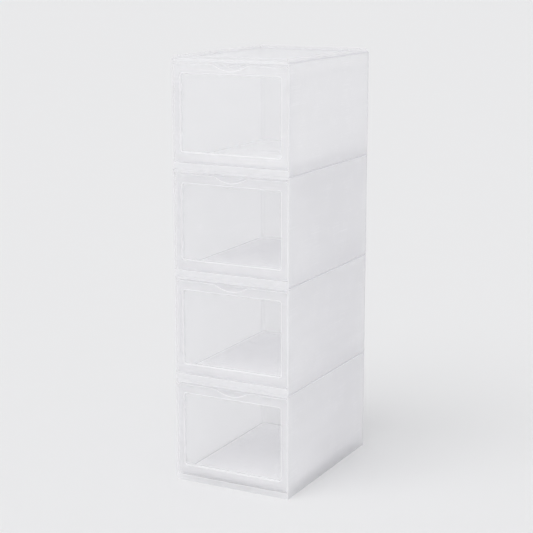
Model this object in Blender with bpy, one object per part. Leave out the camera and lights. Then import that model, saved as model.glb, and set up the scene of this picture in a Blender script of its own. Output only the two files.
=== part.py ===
"""A tower of four stacking shoe boxes: each is a frosted case, open at the front,
with a frosted drawer that slides out of it and a clear window snapped into the drawer's front.

Metres, +Z up, the drawers' fronts face -Y. The origin is on the floor, under the middle of the tower.
Each box is modelled once, standing on the floor, and all four boxes share its meshes.
"""

from math import atan2, hypot, radians

import bmesh
import bpy
from mathutils import Matrix, Vector

# The tower
BOXES = 4
WIDTH = 0.211
DEPTH = 0.305
PITCH = 0.1775              # from one box's foot to the next one's
CLEARANCE = 0.0003          # between pieces that touch

# The case
CASE_WALL = 0.0018
CASE_HEIGHT = PITCH - CLEARANCE
CASE_CORNER = 0.0040        # radius of its four long edges
FLOOR_TOP = 0.0100          # upper face of its raised bottom
RECESS_DEPTH = 0.0082       # hollow under the bottom, which takes the rim of the box below
RIM_HEIGHT = 0.0045
RIM_THICKNESS = 0.0024
RIM_INSET = 0.0032          # from the case's side in to the rim
HEADER_BOTTOM = 0.1728      # lip across the top of the mouth
RUNNER_HEIGHT = 0.0015      # ribs that the drawer slides on
RUNNER_WIDTH = 0.0030
RUNNER_X = 0.0800
RUNNER_BACK_GAP = 0.0100
GUIDE_BOTTOM = 0.1530       # rail above the drawer's rim, which keeps it from tipping
GUIDE_HEIGHT = 0.0018
GUIDE_REACH = 0.0025
RAIL_START = 0.0035         # from the drawer's frame back to the rails and runners

# The drawer's front frame: a skin with a flange round its edge and round the window
FRONT_RECESS = 0.0020       # from the case's mouth back to the drawer's face
FRAME_HALF = 0.1025
FRAME_BOTTOM = 0.0110
FRAME_TOP = 0.1690
FRAME_DEPTH = 0.0120
FRAME_SKIN = 0.0022
FRAME_CORNER = 0.0030
FLANGE = 0.0018

# The drawer's tub
TUB_WALL = 0.0016
TUB_HALF = 0.1005
TUB_BOTTOM = 0.0118
TUB_TOP = 0.1515
TUB_BACK = 0.1480
TUB_CORNER = 0.0080
TUB_LEAN = 0.0028           # how far its sides and back lean in towards the bottom
TUB_START = 0.0010          # from the frame's face back to the tub
TUB_RIM_REACH = 0.0020
TUB_RIM_DROP = 0.0002       # from the wall's top down to the rim

# The stop: a bump on the case's floor, and a rib under the tub that meets it
TRAVEL = 0.2200
STOP_WIDTH = 0.0400
STOP_LENGTH = 0.0020
STOP_HEIGHT = 0.0014
STOP_START = 0.0040         # from the frame back to the bump
STOP_PLAY = 0.0005
CATCH_HEIGHT = 0.0010

# The window and its opening
WINDOW_HALF = 0.0925
WINDOW_BOTTOM = 0.0260
WINDOW_TOP = 0.1555
WINDOW_THICKNESS = 0.0018
WINDOW_CORNER = 0.0040
WINDOW_LIP = 0.0020         # how far the frame's skin laps over the window's edge
SNAP_REACH = 0.0008
SNAP_LENGTH = 0.0120
SNAP_DEPTH = 0.0015
SNAP_SPREAD_X = 0.0550
SNAP_SPREAD_Z = 0.0400

# The finger scoop in the frame's top rail
SCOOP_WIDTH = 0.0600
SCOOP_DEPTH = 0.0095
SCOOP_RISE = 0.0050         # how much higher its floor is at the rail's back
SCOOP_BLOCK = 0.0720        # solid stretch of the rail around it

OVERSHOOT = 0.005           # how far a cutter runs past the faces it opens
BITE = 0.0004               # how far a joined rib sinks into its wall

MOUTH = -DEPTH / 2
FACE = MOUTH + FRONT_RECESS
FRAME_BACK = FACE + FRAME_DEPTH
SKIN_BACK = FACE + FRAME_SKIN
CASE_INNER = WIDTH / 2 - CASE_WALL
CASE_BACK = DEPTH / 2 - CASE_WALL
CASE_ROOF = CASE_HEIGHT - CASE_WALL


# ---------------------------------------------------------------- tools


def clear_scene():
    for thing in list(bpy.data.objects):
        bpy.data.objects.remove(thing, do_unlink=True)


def add_block(bm, low, high, corner=0.0, along="Z", segments=4):
    """Adds a box between two opposite corners. Its edges along one axis can be rounded."""
    low, high = Vector(low), Vector(high)
    size = Matrix.Diagonal((*(high - low), 1.0))
    made = bmesh.ops.create_cube(bm, size=1.0, matrix=Matrix.Translation((low + high) / 2) @ size)
    if not corner:
        return
    axis = "XYZ".index(along)
    edges = {edge for vert in made["verts"] for edge in vert.link_edges}
    long_edges = [e for e in edges if abs(e.verts[0].co[axis] - e.verts[1].co[axis]) > BITE]
    bmesh.ops.bevel(bm, geom=long_edges, offset=corner, segments=segments, profile=0.5, affect="EDGES")


def block(low, high, corner=0.0, along="Z", segments=4):
    bm = bmesh.new()
    add_block(bm, low, high, corner, along, segments)
    return bm


def mirrored(side, near, far):
    """The two ends of a stretch along X on one side of the middle, the lower one first."""
    return sorted((side * near, side * far))


def link(name, bm):
    """Turns a bmesh into an object of the scene."""
    bmesh.ops.recalc_face_normals(bm, faces=bm.faces)
    mesh = bpy.data.meshes.new(name)
    bm.to_mesh(mesh)
    bm.free()
    made = bpy.data.objects.new(name, mesh)
    bpy.context.scene.collection.objects.link(made)
    return made


def tool(name, bm):
    """A shape that only cuts or joins, and is no piece of the tower."""
    made = link(name, bm)
    made.hide_render = True
    made.display_type = "WIRE"
    return made


def boolean(target, operation, other):
    step = target.modifiers.new(other.name, "BOOLEAN")
    step.object = other
    step.operation = operation
    step.solver = "EXACT"


def finished_mesh(target, name, look):
    """The target's mesh with its modifiers applied. The target and the tools then go."""
    bpy.context.view_layer.update()
    mesh = bpy.data.meshes.new_from_object(target.evaluated_get(bpy.context.evaluated_depsgraph_get()))
    mesh.name = name
    mesh.shade_smooth()
    mesh.set_sharp_from_angle(angle=radians(35))
    mesh.materials.clear()
    mesh.materials.append(look)
    clear_scene()
    return mesh


def plastic(name, colour, roughness, alpha):
    made = bpy.data.materials.new(name)
    made.use_nodes = True
    shader = made.node_tree.nodes["Principled BSDF"]
    shader.inputs["Base Color"].default_value = (*colour, 1.0)
    shader.inputs["Metallic"].default_value = 0.0
    shader.inputs["Roughness"].default_value = roughness
    shader.inputs["Alpha"].default_value = alpha
    return made


# ---------------------------------------------------------------- the case


def rim():
    """The low wall on the roof that locates the next box."""
    half_x, half_y = WIDTH / 2 - RIM_INSET, DEPTH / 2 - RIM_INSET
    inner_x, inner_y = half_x - RIM_THICKNESS, half_y - RIM_THICKNESS
    outside = tool("rim", block(
        (-half_x, -half_y, CASE_HEIGHT - BITE), (half_x, half_y, CASE_HEIGHT + RIM_HEIGHT), CASE_CORNER,
    ))
    inside = tool("rim_inside", block(
        (-inner_x, -inner_y, CASE_HEIGHT - OVERSHOOT),
        (inner_x, inner_y, CASE_HEIGHT + RIM_HEIGHT + OVERSHOOT), CASE_CORNER - RIM_THICKNESS,
    ))
    boolean(outside, "DIFFERENCE", inside)
    return outside


def inner_ribs():
    """What stands out of the case's inner walls: header, runners, guide rails and stop."""
    bm = bmesh.new()
    add_block(bm, (-CASE_INNER - BITE, MOUTH + BITE, HEADER_BOTTOM),
              (CASE_INNER + BITE, MOUTH + CASE_WALL, CASE_ROOF + BITE))
    start = FRAME_BACK + RAIL_START
    for side in (-1, 1):
        x = side * RUNNER_X
        add_block(bm, (x - RUNNER_WIDTH / 2, start, FLOOR_TOP - BITE),
                  (x + RUNNER_WIDTH / 2, CASE_BACK - RUNNER_BACK_GAP, FLOOR_TOP + RUNNER_HEIGHT))
        left, right = mirrored(side, CASE_INNER - GUIDE_REACH, CASE_INNER + BITE)
        add_block(bm, (left, start, GUIDE_BOTTOM), (right, CASE_BACK + BITE, GUIDE_BOTTOM + GUIDE_HEIGHT))
    stop = FRAME_BACK + STOP_START
    add_block(bm, (-STOP_WIDTH / 2, stop, FLOOR_TOP - BITE),
              (STOP_WIDTH / 2, stop + STOP_LENGTH, FLOOR_TOP + STOP_HEIGHT))
    return tool("inner_ribs", bm)


def case_mesh(look):
    half, inner_corner = WIDTH / 2, CASE_CORNER - CASE_WALL
    shell = link("shell", block((-half, MOUTH, 0.0), (half, -MOUTH, CASE_HEIGHT), CASE_CORNER, "Y"))
    hollow = tool("hollow", block(
        (-CASE_INNER, MOUTH - OVERSHOOT, FLOOR_TOP), (CASE_INNER, CASE_BACK, CASE_ROOF), inner_corner, "Y",
    ))
    recess = tool("recess", block(
        (-CASE_INNER, -CASE_BACK, -OVERSHOOT), (CASE_INNER, CASE_BACK, RECESS_DEPTH), inner_corner,
    ))
    boolean(shell, "DIFFERENCE", hollow)
    boolean(shell, "DIFFERENCE", recess)
    boolean(shell, "UNION", inner_ribs())
    boolean(shell, "UNION", rim())
    return finished_mesh(shell, "case", look)


# ---------------------------------------------------------------- the drawer


def tub():
    """The open tub behind the frame, whose sides and back lean in towards the bottom."""
    start = FACE + TUB_START
    bm = block((-TUB_HALF, start, TUB_BOTTOM), (TUB_HALF, TUB_BACK, TUB_TOP), TUB_CORNER, segments=6)
    top = max(bm.faces, key=lambda face: face.calc_center_median().z)
    bmesh.ops.inset_region(bm, faces=[top], thickness=TUB_WALL, use_even_offset=True)
    sunk = bmesh.ops.extrude_discrete_faces(bm, faces=[top])["faces"][0]
    for vert in sunk.verts:
        vert.co.z = TUB_BOTTOM + TUB_WALL
    lean_x = 1 - TUB_LEAN / TUB_HALF
    lean_y = 1 - TUB_LEAN / (TUB_BACK - start)
    for vert in bm.verts:
        if vert.co.z < TUB_TOP - TUB_WALL:
            vert.co.x *= lean_x
            vert.co.y = start + (vert.co.y - start) * lean_y
    return tool("tub", bm)


def tub_ribs():
    """The tub's rim at both sides and the back, and the rib below it that meets the stop."""
    bm = bmesh.new()
    low, high = TUB_TOP - TUB_RIM_DROP - TUB_WALL, TUB_TOP - TUB_RIM_DROP
    for side in (-1, 1):
        left, right = mirrored(side, TUB_HALF - TUB_WALL / 2, TUB_HALF + TUB_RIM_REACH)
        add_block(bm, (left, FRAME_BACK - BITE, low), (right, TUB_BACK - TUB_CORNER, high))
    across = TUB_HALF - TUB_CORNER
    add_block(bm, (-across, TUB_BACK - TUB_WALL / 2, low), (across, TUB_BACK + TUB_RIM_REACH, high))
    catch = FRAME_BACK + STOP_START + STOP_LENGTH + TRAVEL + STOP_PLAY
    add_block(bm, (-STOP_WIDTH / 2, catch, TUB_BOTTOM - CATCH_HEIGHT),
              (STOP_WIDTH / 2, catch + STOP_LENGTH, TUB_BOTTOM + BITE))
    return tool("tub_ribs", bm)


def snaps():
    """Small teeth round the window's opening that hold the window against the frame's skin."""
    bm = bmesh.new()
    start = SKIN_BACK + 2 * CLEARANCE + WINDOW_THICKNESS
    middle = (WINDOW_BOTTOM + WINDOW_TOP) / 2
    for side in (-1, 1):
        left, right = mirrored(side, WINDOW_HALF - SNAP_REACH, WINDOW_HALF + BITE)
        for z in (middle - SNAP_SPREAD_Z, middle + SNAP_SPREAD_Z):
            add_block(bm, (left, start, z - SNAP_LENGTH / 2), (right, start + SNAP_DEPTH, z + SNAP_LENGTH / 2))
        x = side * SNAP_SPREAD_X
        for low in (WINDOW_BOTTOM - BITE, WINDOW_TOP - SNAP_REACH):
            add_block(bm, (x - SNAP_LENGTH / 2, start, low),
                      (x + SNAP_LENGTH / 2, start + SNAP_DEPTH, low + SNAP_REACH + BITE))
    return tool("snaps", bm)


def scoop():
    """A tilted cylinder that cuts a shallow arc out of the top rail, higher towards the back."""
    radius = ((SCOOP_WIDTH / 2) ** 2 + SCOOP_DEPTH ** 2) / (2 * SCOOP_DEPTH)
    rise = SCOOP_RISE / FRAME_DEPTH
    bm = bmesh.new()
    bmesh.ops.create_cone(bm, cap_ends=True, segments=96, radius1=radius, radius2=radius, depth=4 * FRAME_DEPTH)
    turn = Matrix.Rotation(radians(90) + atan2(SCOOP_RISE, FRAME_DEPTH), 4, "X")
    centre = Vector((0.0, FACE, FRAME_TOP - SCOOP_DEPTH + radius * hypot(1, rise)))
    bmesh.ops.transform(bm, matrix=Matrix.Translation(centre) @ turn, verts=bm.verts)
    return tool("scoop", bm)


def drawer_mesh(look):
    half, side = FRAME_HALF, FRAME_HALF - FLANGE
    far = FRAME_BACK + OVERSHOOT
    frame = link("frame", block((-half, FACE, FRAME_BOTTOM), (half, FRAME_BACK, FRAME_TOP), FRAME_CORNER, "Y"))
    channel = tool("channel", block(
        (-side, SKIN_BACK, FRAME_BOTTOM + FLANGE), (side, far, FRAME_TOP - FLANGE),
        FRAME_CORNER - FLANGE, "Y",
    ))
    window_flange = tool("window_flange", block(
        (-WINDOW_HALF - FLANGE, SKIN_BACK - BITE, WINDOW_BOTTOM - FLANGE),
        (WINDOW_HALF + FLANGE, FRAME_BACK, WINDOW_TOP + FLANGE), WINDOW_CORNER + FLANGE, "Y",
    ))
    scoop_block = tool("scoop_block", block(
        (-SCOOP_BLOCK / 2, SKIN_BACK - BITE, WINDOW_TOP + BITE),
        (SCOOP_BLOCK / 2, FRAME_BACK, FRAME_TOP - FLANGE + BITE),
    ))
    opening = tool("opening", block(
        (-WINDOW_HALF + WINDOW_LIP, FACE - OVERSHOOT, WINDOW_BOTTOM + WINDOW_LIP),
        (WINDOW_HALF - WINDOW_LIP, far, WINDOW_TOP - WINDOW_LIP), WINDOW_CORNER, "Y",
    ))
    seat = tool("seat", block(
        (-WINDOW_HALF, SKIN_BACK, WINDOW_BOTTOM), (WINDOW_HALF, far, WINDOW_TOP), WINDOW_CORNER, "Y",
    ))
    boolean(frame, "DIFFERENCE", channel)
    boolean(frame, "UNION", window_flange)
    boolean(frame, "UNION", scoop_block)
    boolean(frame, "UNION", tub())
    boolean(frame, "UNION", tub_ribs())
    boolean(frame, "DIFFERENCE", opening)
    boolean(frame, "DIFFERENCE", seat)
    boolean(frame, "DIFFERENCE", scoop())
    boolean(frame, "UNION", snaps())
    return finished_mesh(frame, "drawer", look)


# ---------------------------------------------------------------- the window


def window_mesh(look):
    half = WINDOW_HALF - CLEARANCE
    near = SKIN_BACK + CLEARANCE
    pane = link("pane", block(
        (-half, near, WINDOW_BOTTOM + CLEARANCE),
        (half, near + WINDOW_THICKNESS, WINDOW_TOP - CLEARANCE), WINDOW_CORNER, "Y",
    ))
    return finished_mesh(pane, "window", look)


# ---------------------------------------------------------------- the tower


def main():
    clear_scene()
    frosted = plastic("frosted", (0.86, 0.88, 0.90), 0.42, 0.6)
    clear = plastic("clear", (0.92, 0.94, 0.95), 0.10, 0.3)
    pieces = {"case": case_mesh(frosted), "drawer": drawer_mesh(frosted), "window": window_mesh(clear)}
    for number in range(1, BOXES + 1):
        foot = bpy.data.objects.new(f"box_{number}", None)
        bpy.context.scene.collection.objects.link(foot)
        foot.location.z = (number - 1) * PITCH
        for kind, mesh in pieces.items():
            piece = bpy.data.objects.new(f"{kind}_{number}", mesh)
            bpy.context.scene.collection.objects.link(piece)
            piece.parent = foot


main()
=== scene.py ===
"""A tower of four stacking shoe boxes in frosted plastic, each with a sliding drawer and a clear window."""

from math import cos, radians, sin, sqrt

import bmesh
import bpy
from mathutils import Matrix, Vector


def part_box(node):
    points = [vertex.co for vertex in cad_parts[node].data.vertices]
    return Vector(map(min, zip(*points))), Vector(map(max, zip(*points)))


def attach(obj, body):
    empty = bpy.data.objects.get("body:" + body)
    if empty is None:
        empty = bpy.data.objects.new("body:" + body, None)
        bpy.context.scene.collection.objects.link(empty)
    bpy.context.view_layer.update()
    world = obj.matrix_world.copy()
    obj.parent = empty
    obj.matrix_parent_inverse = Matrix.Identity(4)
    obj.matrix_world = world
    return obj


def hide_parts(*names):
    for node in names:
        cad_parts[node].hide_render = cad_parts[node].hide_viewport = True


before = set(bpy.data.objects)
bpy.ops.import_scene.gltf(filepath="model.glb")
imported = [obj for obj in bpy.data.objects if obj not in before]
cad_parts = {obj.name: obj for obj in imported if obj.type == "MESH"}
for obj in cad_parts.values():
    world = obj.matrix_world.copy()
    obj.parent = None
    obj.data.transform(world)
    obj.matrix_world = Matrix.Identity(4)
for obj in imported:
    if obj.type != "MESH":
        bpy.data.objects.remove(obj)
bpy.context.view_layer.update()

# Places read from the solids of the lowest box
CASE_LOW, CASE_HIGH = (Vector(corner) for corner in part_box("case_1"))
DRAWER_LOW, DRAWER_HIGH = (Vector(corner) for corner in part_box("drawer_1"))
WINDOW_LOW, WINDOW_HIGH = (Vector(corner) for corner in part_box("window_1"))
BOXES = sum(name.startswith("case_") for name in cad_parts)
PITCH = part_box("case_2")[0][2] - CASE_LOW.z

HALF = CASE_HIGH.x
MOUTH, BACK = CASE_LOW.y, CASE_HIGH.y
RIM_TOP = CASE_HIGH.z
FACE = DRAWER_LOW.y
FRAME_HALF = DRAWER_HIGH.x
FRAME_TOP = DRAWER_HIGH.z

# The case, in metres
WALL = 0.0018
ROOF = RIM_TOP - 0.0045
EDGE_ROUND = 0.0026         # radius of its top and back edges
FLOOR_TOP = 0.0100
RECESS = 0.0082
RIM_FOOT = 0.0006           # flat strip between the rounded roof edge and the rim
RIM_WALL = 0.0024
HEADER_DROP = 0.0026        # lip that hangs from the roof across the mouth
INNER_HALF = HALF - WALL
INNER_BACK = BACK - WALL
RIB_START = 0.0035          # gap between the drawer's frame and the ribs behind it
RUNNER_PLACE = 0.0800       # from the middle
RUNNER_HALF = 0.0015
RUNNER_RISE = 0.0015
RUNNER_END = 0.0100         # gap to the back wall
RAIL_REACH = 0.0025
RAIL_LOW, RAIL_HIGH = 0.1530, 0.1548
STOP_HALF = 0.0200
STOP_START = 0.0040         # behind the drawer's frame
STOP_DEPTH = 0.0020
STOP_RISE = 0.0014

# The drawer's front frame
FRAME_BOTTOM = 0.0110
FRAME_DEPTH = 0.0120
FRAME_BACK = FACE + FRAME_DEPTH
FRAME_CORNER = 0.0030
SKIN = 0.0022
FLANGE = 0.0018
FILLET = 0.0002             # how much thicker the skin is at the outer flange
PLAY = 0.0003               # gap round the window
WINDOW_HALF = WINDOW_HIGH.x + PLAY
WINDOW_BOTTOM = WINDOW_LOW.z - PLAY
WINDOW_TOP = WINDOW_HIGH.z + PLAY
WINDOW_CORNER = 0.0040
LIP = 0.0020
LIP_BEVEL = 0.0009
SCOOP_HALF = 0.0300
SCOOP_DEPTH = 0.0095
SCOOP_RISE = 0.0050         # how much higher the scoop's floor is at the back
SCOOP_SOFT = 0.0012         # how softly it meets the rail's top
SCOOP_CUTS = 66             # points along the rail's top that the scoop can move
TOOTH_REACH = 0.0008        # snap teeth that hold the window from behind
TOOTH_HALF = 0.0060
TOOTH_DEPTH = 0.0015
TOOTH_UP = 0.0400           # from the middle of the window's height
TOOTH_ACROSS = 0.0550       # from the middle of its width
SMALL_ROUND = 0.0003

# The drawer's tub
TUB_WALL = 0.0016
TUB_HALF = 0.1005
TUB_BOTTOM = 0.0118
TUB_TOP = 0.1513
TUB_BACK = 0.1480
TUB_ROUND = 0.0080
TUB_FOOT_ROUND = 0.0030
TUB_LEAN = 0.0028
TUB_RIM = 0.0020
TUB_SIDE_FOOT = 0.0010      # where the sides start above the frame's foot
CATCH_HALF = 0.0200
CATCH_START, CATCH_END = 0.0880, 0.0900
CATCH_DROP = 0.0010

CRISP = 0.0004              # rounding of every moulded edge
THICK = 0.0032              # walls' ends up to this width count as thick plastic
# these amounts, cubed, also set how much of the case's painted edge shade a face takes
EDGE_MILK = 0.6             # how thick those, the crisp edges and the ribs count
FLOOR_MILK = 0.92           # and the tub's floor
ROUND_MILK = 1.0            # and the case's round edges
SINK = 0.0002               # how far a rib is rooted in its wall

# The room
FLOOR_COLOUR = (0.884, 0.884, 0.888)
SKY_BRIGHT = (1.000, 1.002, 1.008)
SKY_DIM = (0.670, 0.673, 0.682)
SKY_TOWARDS = (0.05, -0.22, -0.97)      # the room is brightest low down and in front
LIGHT = 0.74
LIGHT_SPREAD = 46.0
LIGHT_AZIMUTH = -15.0
LIGHT_HEIGHT = 57.0
LENS = 96.19                # in millimetres, behind it a film 36 wide
CAMERA_PLACE = (1.0885, -2.1135, 0.8707)
CAMERA_YAW = 27.54
CAMERA_DOWN = 12.35

# The plastics
MILKY = (0.989, 0.988, 0.994)
MILKY_EDGE = (0.990, 0.989, 0.993)
# painted shade: grey that the case's round edges take in full, and its crisp edges, ribs and wall ends
# faintly
PAINTED_EDGE_SHADE = (0.830, 0.826, 0.856)
CLEAR = (0.978, 0.978, 0.986)


# ---------------------------------------------------------------- shaping


def new_shape():
    bm = bmesh.new()
    bm.faces.layers.float.new("thick")
    return bm


def moved(bm, verts, x=0.0, y=0.0, z=0.0):
    bmesh.ops.translate(bm, verts=list(verts), vec=(x, y, z))


def rounded(bm, edges, radius, segments=5):
    return bmesh.ops.bevel(
        bm, geom=list(edges), offset=radius, segments=segments, profile=0.5, affect="EDGES", material=-1,
    )["faces"]


def block(bm, low, high):
    """A plain block between two opposite corners. Returns its vertices."""
    low, high = Vector(low), Vector(high)
    size = Matrix.Diagonal((*(high - low), 1.0))
    return bmesh.ops.create_cube(bm, size=1.0, matrix=Matrix.Translation((low + high) / 2) @ size)["verts"]


def rib(bm, low, high, radius=CRISP):
    """A block with all its edges rounded. It counts as thick plastic."""
    before = set(bm.faces)
    verts = block(bm, low, high)
    rounded(bm, {edge for vert in verts for edge in vert.link_edges}, radius, segments=2)
    mark_thick(bm, set(bm.faces) - before)


def mirrored(side, near, far):
    """The two ends of a stretch along X on one side of the middle, the lower one first."""
    return sorted((side * near, side * far))


def face_towards(bm, axis, sign):
    """The flat face that lies furthest along an axis."""
    bm.normal_update()
    flat = [f for f in bm.faces if sign * f.normal[axis] > 0.99]
    return max(flat, key=lambda f: (round(sign * f.calc_center_median()[axis], 5), f.calc_area()))


def inset(bm, face, width):
    """Insets a face, which stays as the middle. Returns the ring round it."""
    return bmesh.ops.inset_region(bm, faces=[face], thickness=width, use_even_offset=True)["faces"]


def pushed(bm, face, x=0.0, y=0.0, z=0.0):
    """Extrudes a face by a vector and returns it in its new place."""
    new = bmesh.ops.extrude_discrete_faces(bm, faces=[face])["faces"][0]
    moved(bm, new.verts, x, y, z)
    return new


def sharp_edges(bm, angle=40):
    bm.normal_update()
    return [e for e in bm.edges if e.is_manifold and e.calc_face_angle(0.0) > radians(angle)]


def mark_thick(bm, faces, amount=EDGE_MILK):
    """Marks faces with thick plastic behind them, where light runs along the wall instead of across it."""
    # on the case the mark also lays the painted edge shade, a grey that is strongest where the mark is 1
    layer = bm.faces.layers.float["thick"]
    for face in faces:
        face[layer] = amount


def crisp_edges(bm, radius=CRISP, angle=40):
    """Rounds every sharp edge a little, as a mould leaves it. They and the wall ends count as thick."""
    sharp = set(sharp_edges(bm, angle))
    ends = []
    for face in bm.faces:
        border = sum(e.calc_length() for e in face.edges if e in sharp)
        if border and 2 * face.calc_area() / border < THICK:
            ends.append(face)
    mark_thick(bm, ends)
    mark_thick(bm, rounded(bm, sharp, radius, segments=2))


def closed(bm):
    """Takes away edges that no face uses and turns every face outwards."""
    bmesh.ops.delete(bm, geom=[e for e in bm.edges if e.is_wire], context="EDGES")
    bmesh.ops.recalc_face_normals(bm, faces=bm.faces)
    return bm


def piece(kind, bm, number, body, look):
    """One box's piece: a copy of the shape, set up at its height in the tower."""
    name = f"{kind}_{number}"
    copy = bm.copy()
    moved(copy, copy.verts, z=(number - 1) * PITCH)
    mesh = bpy.data.meshes.new(f"moulded_{name}")
    copy.to_mesh(mesh)
    copy.free()
    mesh.shade_smooth()
    mesh.set_sharp_from_angle(angle=radians(50))
    mesh.materials.append(look)
    made = bpy.data.objects.new(f"moulded_{name}", mesh)
    bpy.context.scene.collection.objects.link(made)
    flat = made.modifiers.new("broad faces stay flat", "WEIGHTED_NORMAL")
    flat.keep_sharp = True
    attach(made, body)
    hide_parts(name)
    return made


# ---------------------------------------------------------------- the case


def case_sleeve(bm):
    """The sleeve: hollow with its header lip, recess under the floor, and rim on the roof."""
    block(bm, (-HALF, MOUTH, 0.0), (HALF, BACK, ROOF))
    roof, back = face_towards(bm, 2, 1), face_towards(bm, 1, 1)
    soft = {e for e in roof.edges if max(v.co.y for v in e.verts) > 0}
    soft |= {e for e in back.edges if max(v.co.z for v in e.verts) > 0}
    mark_thick(bm, rounded(bm, soft, EDGE_ROUND, segments=6), ROUND_MILK)

    middle = ROOF / 2
    mouth = face_towards(bm, 1, -1)
    mark_thick(bm, inset(bm, mouth, WALL))
    moved(bm, [v for v in mouth.verts if v.co.z < middle], z=FLOOR_TOP - WALL)
    moved(bm, [v for v in mouth.verts if v.co.z > middle], z=-HEADER_DROP)
    hollow = pushed(bm, pushed(bm, mouth, y=WALL))
    moved(bm, [v for v in hollow.verts if v.co.z > middle], z=HEADER_DROP)
    pushed(bm, hollow, y=INNER_BACK - MOUTH - WALL)

    foot = face_towards(bm, 2, -1)
    inset(bm, foot, WALL)
    pushed(bm, foot, z=RECESS)

    roof = face_towards(bm, 2, 1)
    inset(bm, roof, RIM_FOOT)
    moved(bm, [v for v in roof.verts if v.co.y < 0], y=EDGE_ROUND)
    ring = inset(bm, roof, RIM_WALL)
    raised = bmesh.ops.extrude_face_region(bm, geom=ring)["geom"]
    moved(bm, [v for v in raised if isinstance(v, bmesh.types.BMVert)], z=RIM_TOP - ROOF)
    bmesh.ops.delete(bm, geom=[f for f in ring if f.is_valid], context="FACES_ONLY")


def case_ribs(bm):
    """What stands out of the inner walls: runners, guide rails and the stop bump."""
    start, foot = FRAME_BACK + RIB_START, FLOOR_TOP - SINK
    for side in (-1, 1):
        left, right = mirrored(side, RUNNER_PLACE - RUNNER_HALF, RUNNER_PLACE + RUNNER_HALF)
        rib(bm, (left, start, foot), (right, INNER_BACK - RUNNER_END, FLOOR_TOP + RUNNER_RISE))
        left, right = mirrored(side, INNER_HALF - RAIL_REACH, INNER_HALF + SINK)
        rib(bm, (left, start, RAIL_LOW), (right, INNER_BACK + SINK, RAIL_HIGH))
    stop = FRAME_BACK + STOP_START
    rib(bm, (-STOP_HALF, stop, foot), (STOP_HALF, stop + STOP_DEPTH, FLOOR_TOP + STOP_RISE))


def case_shape():
    bm = new_shape()
    case_sleeve(bm)
    crisp_edges(bm)
    case_ribs(bm)
    return closed(bm)


# ---------------------------------------------------------------- the drawer


def scoop_drop(x, y):
    """How far the top rail dips at a point: an arc that gets shallower towards the back."""
    radius = (SCOOP_HALF ** 2 + SCOOP_DEPTH ** 2) / (2 * SCOOP_DEPTH)
    reach = min(abs(x), radius * 0.9)
    arc = sqrt(radius ** 2 - reach ** 2) - (radius - SCOOP_DEPTH)
    drop = arc - SCOOP_RISE * (y - FACE) / FRAME_DEPTH
    return (drop + sqrt(drop ** 2 + SCOOP_SOFT ** 2)) / 2


def outline(bm, half, low, high, y, corner, scooped=False):
    """A rounded rectangle facing the front, as a closed loop of edges. Its top can dip with the scoop."""
    before = set(bm.faces)
    place = Matrix.Translation((0, y, (low + high) / 2)) @ Matrix.Rotation(radians(90), 4, "X")
    size = Matrix.Diagonal((2 * half, high - low, 1, 1))
    corners = bmesh.ops.create_grid(bm, x_segments=1, y_segments=1, size=0.5, matrix=place @ size)["verts"]
    bmesh.ops.bevel(
        bm, geom=corners, offset=corner, segments=5, profile=0.5, affect="VERTICES", material=-1,
    )
    face = next(f for f in bm.faces if f not in before)
    top = max(face.edges, key=lambda e: e.verts[0].co.z + e.verts[1].co.z)
    bmesh.ops.subdivide_edges(bm, edges=[top], cuts=SCOOP_CUTS)
    if scooped:
        for vert in face.verts:
            if vert.co.z > high - 1e-5:
                vert.co.z -= scoop_drop(vert.co.x, y)
    return face


def edges_only(bm, face):
    edges = list(face.edges)
    bmesh.ops.delete(bm, geom=[face], context="FACES_ONLY")
    return edges


def front_frame(bm):
    """The frame: outer flange, channel, window flange, seat and lip, as loops bridged into a closed ring."""
    back, skin = FRAME_BACK, FACE + SKIN
    outer = (FRAME_HALF, FRAME_BOTTOM, FRAME_TOP)
    inner = (FRAME_HALF - FLANGE, FRAME_BOTTOM + FLANGE, FRAME_TOP - FLANGE)
    wrap = (WINDOW_HALF + FLANGE, WINDOW_BOTTOM - FLANGE, WINDOW_TOP + FLANGE)
    seat = (WINDOW_HALF, WINDOW_BOTTOM, WINDOW_TOP)
    lip = (WINDOW_HALF - LIP, WINDOW_BOTTOM + LIP, WINDOW_TOP - LIP)
    bevel = (WINDOW_HALF - LIP + LIP_BEVEL, WINDOW_BOTTOM + LIP - LIP_BEVEL, WINDOW_TOP - LIP + LIP_BEVEL)
    steps = [
        (*outer, FACE, FRAME_CORNER, True),
        (*outer, back, FRAME_CORNER, True),
        (*inner, back, FRAME_CORNER - FLANGE, True),
        (*inner, skin + FILLET, FRAME_CORNER - FLANGE, True),
        (*wrap, skin, WINDOW_CORNER + FLANGE, False),
        (*wrap, back, WINDOW_CORNER + FLANGE, False),
        (*seat, back, WINDOW_CORNER, False),
        (*seat, skin, WINDOW_CORNER, False),
        (*lip, skin, WINDOW_CORNER - LIP / 2, False),
        (*lip, FACE + LIP_BEVEL, WINDOW_CORNER - LIP / 2, False),
        (*bevel, FACE, WINDOW_CORNER, False),
    ]
    loops = [edges_only(bm, outline(bm, *step)) for step in steps]
    for loop, following in zip(loops, loops[1:] + loops[:1]):
        bmesh.ops.bridge_loops(bm, edges=loop + following)


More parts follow.
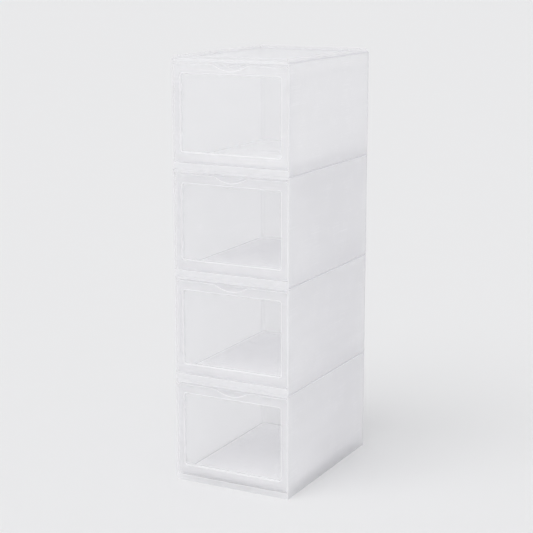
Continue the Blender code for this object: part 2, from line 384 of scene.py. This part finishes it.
def tub(bm):
    """The open tub behind the frame: floor, sides and back of one thickness, with a rim turned outwards."""
    shell = new_shape()
    start, top = FRAME_BACK - SINK, TUB_TOP - TUB_WALL
    verts = block(shell, (-TUB_HALF, start, TUB_BOTTOM), (TUB_HALF, TUB_BACK, top))
    for vert in verts:
        if vert.co.z < top / 2:
            vert.co.x -= TUB_LEAN if vert.co.x > 0 else -TUB_LEAN
            vert.co.y -= TUB_LEAN if vert.co.y > 0 else 0.0
    opened = [face_towards(shell, 2, 1), face_towards(shell, 1, -1)]
    bmesh.ops.delete(shell, geom=opened, context="FACES_ONLY")
    upright = [e for e in shell.edges if not e.is_boundary and abs(e.verts[0].co.z - e.verts[1].co.z) > 0.05]
    rounded(shell, upright, TUB_ROUND, segments=8)
    floor = face_towards(shell, 2, -1)
    rounded(shell, [e for e in floor.edges if not e.is_boundary], TUB_FOOT_ROUND, segments=5)

    shell.normal_update()
    edge = [e for e in shell.edges if e.is_boundary and min(v.co.z for v in e.verts) > top - 1e-4]
    turned = bmesh.ops.extrude_edge_only(shell, edges=edge)["geom"]
    for vert in [v for v in turned if isinstance(v, bmesh.types.BMVert)]:
        out = Vector((vert.co.x, max(vert.co.y - TUB_BACK + TUB_ROUND, 0.0), 0.0))
        middle = TUB_HALF - TUB_ROUND
        if vert.co.y > TUB_BACK - TUB_ROUND:
            out.x = max(abs(vert.co.x) - middle, 0.0) * (1 if vert.co.x > 0 else -1)
        vert.co += out.normalized() * TUB_RIM
    bmesh.ops.recalc_face_normals(shell, faces=shell.faces)
    side = max(shell.faces, key=lambda f: f.calc_center_median().x * f.calc_area())
    if side.normal.x < 0:
        bmesh.ops.reverse_faces(shell, faces=shell.faces)
    bmesh.ops.solidify(shell, geom=shell.faces, thickness=TUB_WALL)
    crisp_edges(shell, angle=60)
    floors = [f for f in shell.faces if f.calc_area() > 0.01 and abs(f.normal.z) > 0.99]
    mark_thick(shell, floors, FLOOR_MILK)
    made = bpy.data.meshes.new("tub")
    shell.to_mesh(made)
    shell.free()
    bm.from_mesh(made)
    bpy.data.meshes.remove(made)


def drawer_ribs(bm):
    """The tub's sides carried on into the frame, the catch rib below, and the teeth behind the window."""
    skin = FACE + SKIN
    for side in (-1, 1):
        left, right = mirrored(side, TUB_HALF - TUB_WALL, TUB_HALF)
        low, high = FRAME_BOTTOM + TUB_SIDE_FOOT, TUB_TOP - TUB_WALL
        rib(bm, (left, skin - SINK, low), (right, FRAME_BACK + SINK, high))
    low, high = TUB_BOTTOM - CATCH_DROP, TUB_BOTTOM + SINK
    rib(bm, (-CATCH_HALF, CATCH_START, low), (CATCH_HALF, CATCH_END, high), SMALL_ROUND)
    teeth = skin + 2 * PLAY + WINDOW_HIGH.y - WINDOW_LOW.y
    end = teeth + TOOTH_DEPTH
    middle = (WINDOW_BOTTOM + WINDOW_TOP) / 2
    for side in (-1, 1):
        left, right = mirrored(side, WINDOW_HALF - TOOTH_REACH, WINDOW_HALF + SINK)
        for z in (middle - TOOTH_UP, middle + TOOTH_UP):
            rib(bm, (left, teeth, z - TOOTH_HALF), (right, end, z + TOOTH_HALF), SMALL_ROUND)
        x = side * TOOTH_ACROSS
        for low in (WINDOW_BOTTOM - SINK, WINDOW_TOP - TOOTH_REACH):
            high = low + TOOTH_REACH + SINK
            rib(bm, (x - TOOTH_HALF, teeth, low), (x + TOOTH_HALF, end, high), SMALL_ROUND)


def drawer_shape():
    bm = new_shape()
    front_frame(bm)
    bmesh.ops.recalc_face_normals(bm, faces=bm.faces)
    crisp_edges(bm)
    tub(bm)
    drawer_ribs(bm)
    return closed(bm)


# ---------------------------------------------------------------- the window


def window_shape():
    bm = new_shape()
    face = outline(bm, WINDOW_HIGH.x, WINDOW_LOW.z, WINDOW_HIGH.z, WINDOW_LOW.y, WINDOW_CORNER)
    walls = bmesh.ops.extrude_face_region(bm, geom=[face])["geom"]
    moved(bm, [v for v in walls if isinstance(v, bmesh.types.BMVert)], y=WINDOW_HIGH.y - WINDOW_LOW.y)
    bmesh.ops.recalc_face_normals(bm, faces=bm.faces)
    crisp_edges(bm)
    return bm


# ---------------------------------------------------------------- materials


def add(tree, kind, **settings):
    """A new shader node with its properties set."""
    made = tree.nodes.new(f"ShaderNode{kind}")
    for name, value in settings.items():
        setattr(made, name, value)
    return made


def feed(tree, node, **values):
    """Sets or links a node's inputs, named with _ for a space."""
    for name, value in values.items():
        socket = node.inputs[name.replace("_", " ")]
        if isinstance(value, bpy.types.NodeSocket):
            tree.links.new(value, socket)
        else:
            socket.default_value = value
    return node


def reckon(tree, operation, *values, clamp=False):
    """A Math node on up to three numbers or sockets. Returns its output."""
    made = add(tree, "Math", operation=operation, use_clamp=clamp)
    for socket, value in zip(made.inputs, values):
        if isinstance(value, bpy.types.NodeSocket):
            tree.links.new(value, socket)
        else:
            socket.default_value = value
    return made.outputs[0]


def ranged(tree, value, low, high, new_low=0.0, new_high=1.0):
    """Eases a value from one range into another and stops at its ends."""
    made = add(tree, "MapRange", interpolation_type="SMOOTHSTEP")
    feed(tree, made, Value=value, From_Min=low, From_Max=high, To_Min=new_low, To_Max=new_high)
    return made.outputs["Result"]


def cloud(tree, point, scale, stretch=(1.0, 1.0, 1.0), detail=0.0, roughness=0.5):
    """Noise over the piece, drawn out along the axes by stretch. Returns its value."""
    placed = feed(tree, add(tree, "Mapping"), Vector=point, Scale=tuple(scale * s for s in stretch))
    noise = feed(tree, add(tree, "TexNoise"), Vector=placed.outputs["Vector"], Scale=1.0)
    return feed(tree, noise, Detail=detail, Roughness=roughness).outputs["Fac"]


def group(name, inputs, outputs):
    """An empty node group with its sockets. Returns its tree, its inputs and its output node."""
    tree = bpy.data.node_groups.new(name, "ShaderNodeTree")
    for label, value in inputs.items():
        kind = "NodeSocketFloat" if isinstance(value, float) else "NodeSocketVector"
        socket = tree.interface.new_socket(label, in_out="INPUT", socket_type=kind)
        if isinstance(value, float):
            socket.default_value = value
    for label in outputs:
        tree.interface.new_socket(label, in_out="OUTPUT", socket_type="NodeSocketFloat")
    return tree, tree.nodes.new("NodeGroupInput").outputs, tree.nodes.new("NodeGroupOutput")


def mould_surface():
    """What the mould leaves: a fine spark-eroded grain, and slow waves where the thin wall sank a little."""
    tree, given, result = group("mould surface", {"Point": None, "Grain": 1.0, "Waves": 1.0}, ["Height"])
    grain = cloud(tree, given["Point"], 1100.0)
    grain = reckon(tree, "MULTIPLY", grain, reckon(tree, "MULTIPLY", given["Grain"], 0.00006))
    waves = cloud(tree, given["Point"], 17.0)
    waves = reckon(tree, "MULTIPLY", waves, reckon(tree, "MULTIPLY", given["Waves"], 0.0009))
    feed(tree, result, Height=reckon(tree, "ADD", grain, waves))
    return tree


def flow_marks():
    """Faint milky streaks along the way the plastic ran, and soft patches of slower cooling."""
    tree, given, result = group("flow marks", {"Point": None}, ["Milk"])
    streaks = cloud(tree, given["Point"], 26.0, (1.0, 0.16, 1.0), detail=1.0, roughness=0.6)
    patches = cloud(tree, given["Point"], 7.0)
    both = reckon(tree, "MULTIPLY_ADD", streaks, 0.55, reckon(tree, "MULTIPLY", patches, 0.45))
    feed(tree, result, Milk=ranged(tree, both, 0.34, 0.66))
    return tree


def handling_marks():
    """Hairline scratches from sliding and stacking, in patches, and a light bloom of fingerprints."""
    tree, given, result = group("handling marks", {"Point": None}, ["Scuffs"])
    along = cloud(tree, given["Point"], 900.0, (1.0, 0.012, 1.0))
    across = cloud(tree, given["Point"], 700.0, (0.02, 1.0, 0.7))
    hairs = reckon(tree, "MAXIMUM", ranged(tree, along, 0.66, 0.74), ranged(tree, across, 0.69, 0.76))
    bloom = cloud(tree, given["Point"], 21.0, detail=2.0, roughness=0.7)
    marks = reckon(tree, "MULTIPLY", hairs, ranged(tree, bloom, 0.44, 0.60))
    bloom = ranged(tree, bloom, 0.50, 0.72)
    feed(tree, result, Scuffs=reckon(tree, "MULTIPLY_ADD", bloom, 0.22, marks, clamp=True))
    return tree


def thick_edges():
    """How much plastic lies behind a point, from 0 on the broad walls to 1 along the case's round edges."""
    tree, _, result = group("thick edges", {}, ["Edge"])
    # on the case the same mark also sets the painted edge shade
    feed(tree, result, Edge=add(tree, "Attribute", attribute_name="thick").outputs["Fac"])
    return tree


def place_group(tree, made, **values):
    placed = tree.nodes.new("ShaderNodeGroup")
    placed.node_tree = made
    return feed(tree, placed, **values).outputs


def moulded_plastic(groups, name, colour, edge_colour_and_painted_shade, solid, edge_solid, through, gloss, grain, waves):
    """Injection-moulded see-through plastic.

    solid is the share of light that a face turns back, edge_solid the same along an edge, and through the
    share that comes out scattered on the wall's other side. The rest passes straight. gloss is its roughness.
    """
    made = bpy.data.materials.new(name)
    made.use_nodes = True
    tree = made.node_tree
    point = add(tree, "TexCoord").outputs["Object"]
    milk = place_group(tree, groups["flow"], Point=point)["Milk"]
    scuffs = place_group(tree, groups["handling"], Point=point)["Scuffs"]
    edge = place_group(tree, groups["edges"])["Edge"]
    height = place_group(tree, groups["surface"], Point=point, Grain=grain, Waves=waves)["Height"]

    # The edge colour is mixed in by the thick mark cubed. On the case it is a painted shade: grey in full on
    # the round edges, faint on crisp edges, ribs and wall ends.
    shade = add(tree, "Mix", data_type="RGBA")
    tree.links.new(reckon(tree, "POWER", edge, 3.0), shade.inputs["Factor"])
    tree.links.new(shade.outputs[2], tree.nodes["Principled BSDF"].inputs["Base Color"])
    cloudy = add(tree, "Mix", data_type="RGBA")
    tree.links.new(milk, cloudy.inputs["Factor"])
    cloudy.inputs[6].default_value = (*(c * 0.985 for c in colour), 1.0)
    cloudy.inputs[7].default_value = (*colour, 1.0)
    tree.links.new(cloudy.outputs[2], shade.inputs[6])
    shade.inputs[7].default_value = (*edge_colour_and_painted_shade, 1.0)

    face = reckon(tree, "MULTIPLY_ADD", milk, solid * 0.12, solid * 0.94)
    marked = reckon(tree, "MULTIPLY_ADD", scuffs, 0.05, face)
    rise = reckon(tree, "MULTIPLY", edge, edge_solid - solid)
    opaque = reckon(tree, "ADD", marked, rise, clamp=True)
    rough = reckon(tree, "MULTIPLY_ADD", milk, 0.04, gloss)
    rough = reckon(tree, "MULTIPLY_ADD", scuffs, 0.16, rough, clamp=True)
    relief = feed(tree, add(tree, "Bump"), Height=height, Strength=1.0, Distance=1.0)

    shader = tree.nodes["Principled BSDF"]
    feed(tree, shader, Roughness=rough, Alpha=opaque, Normal=relief.outputs["Normal"], IOR=1.49)
    output = tree.nodes["Material Output"]
    if through:
        glow = feed(tree, add(tree, "BsdfTranslucent"), Color=(*colour, 1.0), Normal=relief.outputs["Normal"])
        passed = reckon(tree, "MULTIPLY_ADD", edge, -through, through)
        both = feed(tree, add(tree, "MixShader"), Fac=passed)
        tree.links.new(shader.outputs["BSDF"], both.inputs[1])
        tree.links.new(glow.outputs["BSDF"], both.inputs[2])
        feed(tree, output, Surface=both.outputs["Shader"])
    return made


def floor_paper():
    """Seamless pale paper: matt, with a fine tooth and barely mottled."""
    made = bpy.data.materials.new("pale floor")
    made.use_nodes = True
    tree = made.node_tree
    point = add(tree, "TexCoord").outputs["Object"]
    mottle = cloud(tree, point, 5.0, detail=3.0)
    tooth = cloud(tree, point, 700.0, detail=2.0)
    shade = add(tree, "Mix", data_type="RGBA")
    tree.links.new(mottle, shade.inputs["Factor"])
    shade.inputs[6].default_value = (*(c * 0.996 for c in FLOOR_COLOUR), 1.0)
    shade.inputs[7].default_value = (*(c * 1.004 for c in FLOOR_COLOUR), 1.0)
    relief = feed(tree, add(tree, "Bump"), Height=tooth, Strength=0.15, Distance=0.0002)
    shader = tree.nodes["Principled BSDF"]
    feed(tree, shader, Base_Color=shade.outputs[2], Roughness=0.9, Normal=relief.outputs["Normal"])
    return made


# ---------------------------------------------------------------- studio


def studio():
    """A pale floor that runs to the horizon, a pale room round it and one soft light from the front left."""
    floor_bm = bmesh.new()
    bmesh.ops.create_grid(floor_bm, x_segments=1, y_segments=1, size=60.0)
    mesh = bpy.data.meshes.new("floor")
    floor_bm.to_mesh(mesh)
    floor_bm.free()
    floor = bpy.data.objects.new("floor", mesh)
    bpy.context.scene.collection.objects.link(floor)
    floor.data.materials.append(floor_paper())

    world = bpy.data.worlds.new("pale room")
    world.use_nodes = True
    tree = world.node_tree
    direction = add(tree, "TexCoord").outputs["Generated"]
    towards = add(tree, "VectorMath", operation="DOT_PRODUCT")
    tree.links.new(direction, towards.inputs[0])
    towards.inputs[1].default_value = SKY_TOWARDS
    shade = add(tree, "Mix", data_type="RGBA")
    tree.links.new(reckon(tree, "MULTIPLY_ADD", towards.outputs["Value"], 0.5, 0.5), shade.inputs["Factor"])
    shade.inputs[6].default_value = (*SKY_DIM, 1.0)
    shade.inputs[7].default_value = (*SKY_BRIGHT, 1.0)
    tree.links.new(shade.outputs[2], tree.nodes["Background"].inputs["Color"])
    bpy.context.scene.world = world

    light = bpy.data.lights.new("soft window light", "SUN")
    light.energy = LIGHT
    light.angle = radians(LIGHT_SPREAD)
    light.color = (1.0, 0.995, 0.985)
    lamp = bpy.data.objects.new("soft window light", light)
    bpy.context.scene.collection.objects.link(lamp)
    azimuth, height = radians(LIGHT_AZIMUTH), radians(LIGHT_HEIGHT)
    back_to_light = Vector((sin(azimuth) * cos(height), -cos(azimuth) * cos(height), sin(height)))
    lamp.rotation_mode = "QUATERNION"
    lamp.rotation_quaternion = back_to_light.to_track_quat("Z", "Y")

    bpy.context.scene.view_settings.view_transform = "Standard"
    cycles = bpy.context.scene.cycles
    cycles.max_bounces = 48
    cycles.diffuse_bounces = 40
    cycles.transparent_max_bounces = 64


def camera():
    """Stands in front and to the right, a little above the tower, with a long lens."""
    data = bpy.data.cameras.new("camera")
    data.lens = LENS
    data.sensor_width = 36.0
    data.clip_end = 100.0
    made = bpy.data.objects.new("camera", data)
    bpy.context.scene.collection.objects.link(made)
    made.location = CAMERA_PLACE
    yaw, down = radians(CAMERA_YAW), radians(CAMERA_DOWN)
    ahead = Vector((-sin(yaw) * cos(down), cos(yaw) * cos(down), -sin(down)))
    made.rotation_mode = "QUATERNION"
    made.rotation_quaternion = ahead.to_track_quat("-Z", "Y")
    bpy.context.scene.camera = made


# ---------------------------------------------------------------- the tower


def main():
    camera()
    studio()
    groups = {
        "surface": mould_surface(),
        "flow": flow_marks(),
        "handling": handling_marks(),
        "edges": thick_edges(),
    }
    looks = {
        # the case's edges are painted a grey shade
        "case": moulded_plastic(
            groups, "frosted case", MILKY, PAINTED_EDGE_SHADE,
            solid=0.24, edge_solid=0.88, through=0.38, gloss=0.42, grain=1.0, waves=1.0,
        ),
        "drawer": moulded_plastic(
            groups, "frosted drawer", MILKY, MILKY_EDGE,
            solid=0.21, edge_solid=1.00, through=0.30, gloss=0.36, grain=0.7, waves=0.8,
        ),
        "window": moulded_plastic(
            groups, "clear window", CLEAR, MILKY_EDGE,
            solid=0.06, edge_solid=0.33, through=0.0, gloss=0.09, grain=0.05, waves=0.5,
        ),
    }
    shapes = {"case": case_shape(), "drawer": drawer_shape(), "window": window_shape()}
    for number in range(1, BOXES + 1):
        piece("case", shapes["case"], number, f"box_{number}", looks["case"])
        piece("drawer", shapes["drawer"], number, f"tray_{number}", looks["drawer"])
        piece("window", shapes["window"], number, f"tray_{number}", looks["window"])


main()
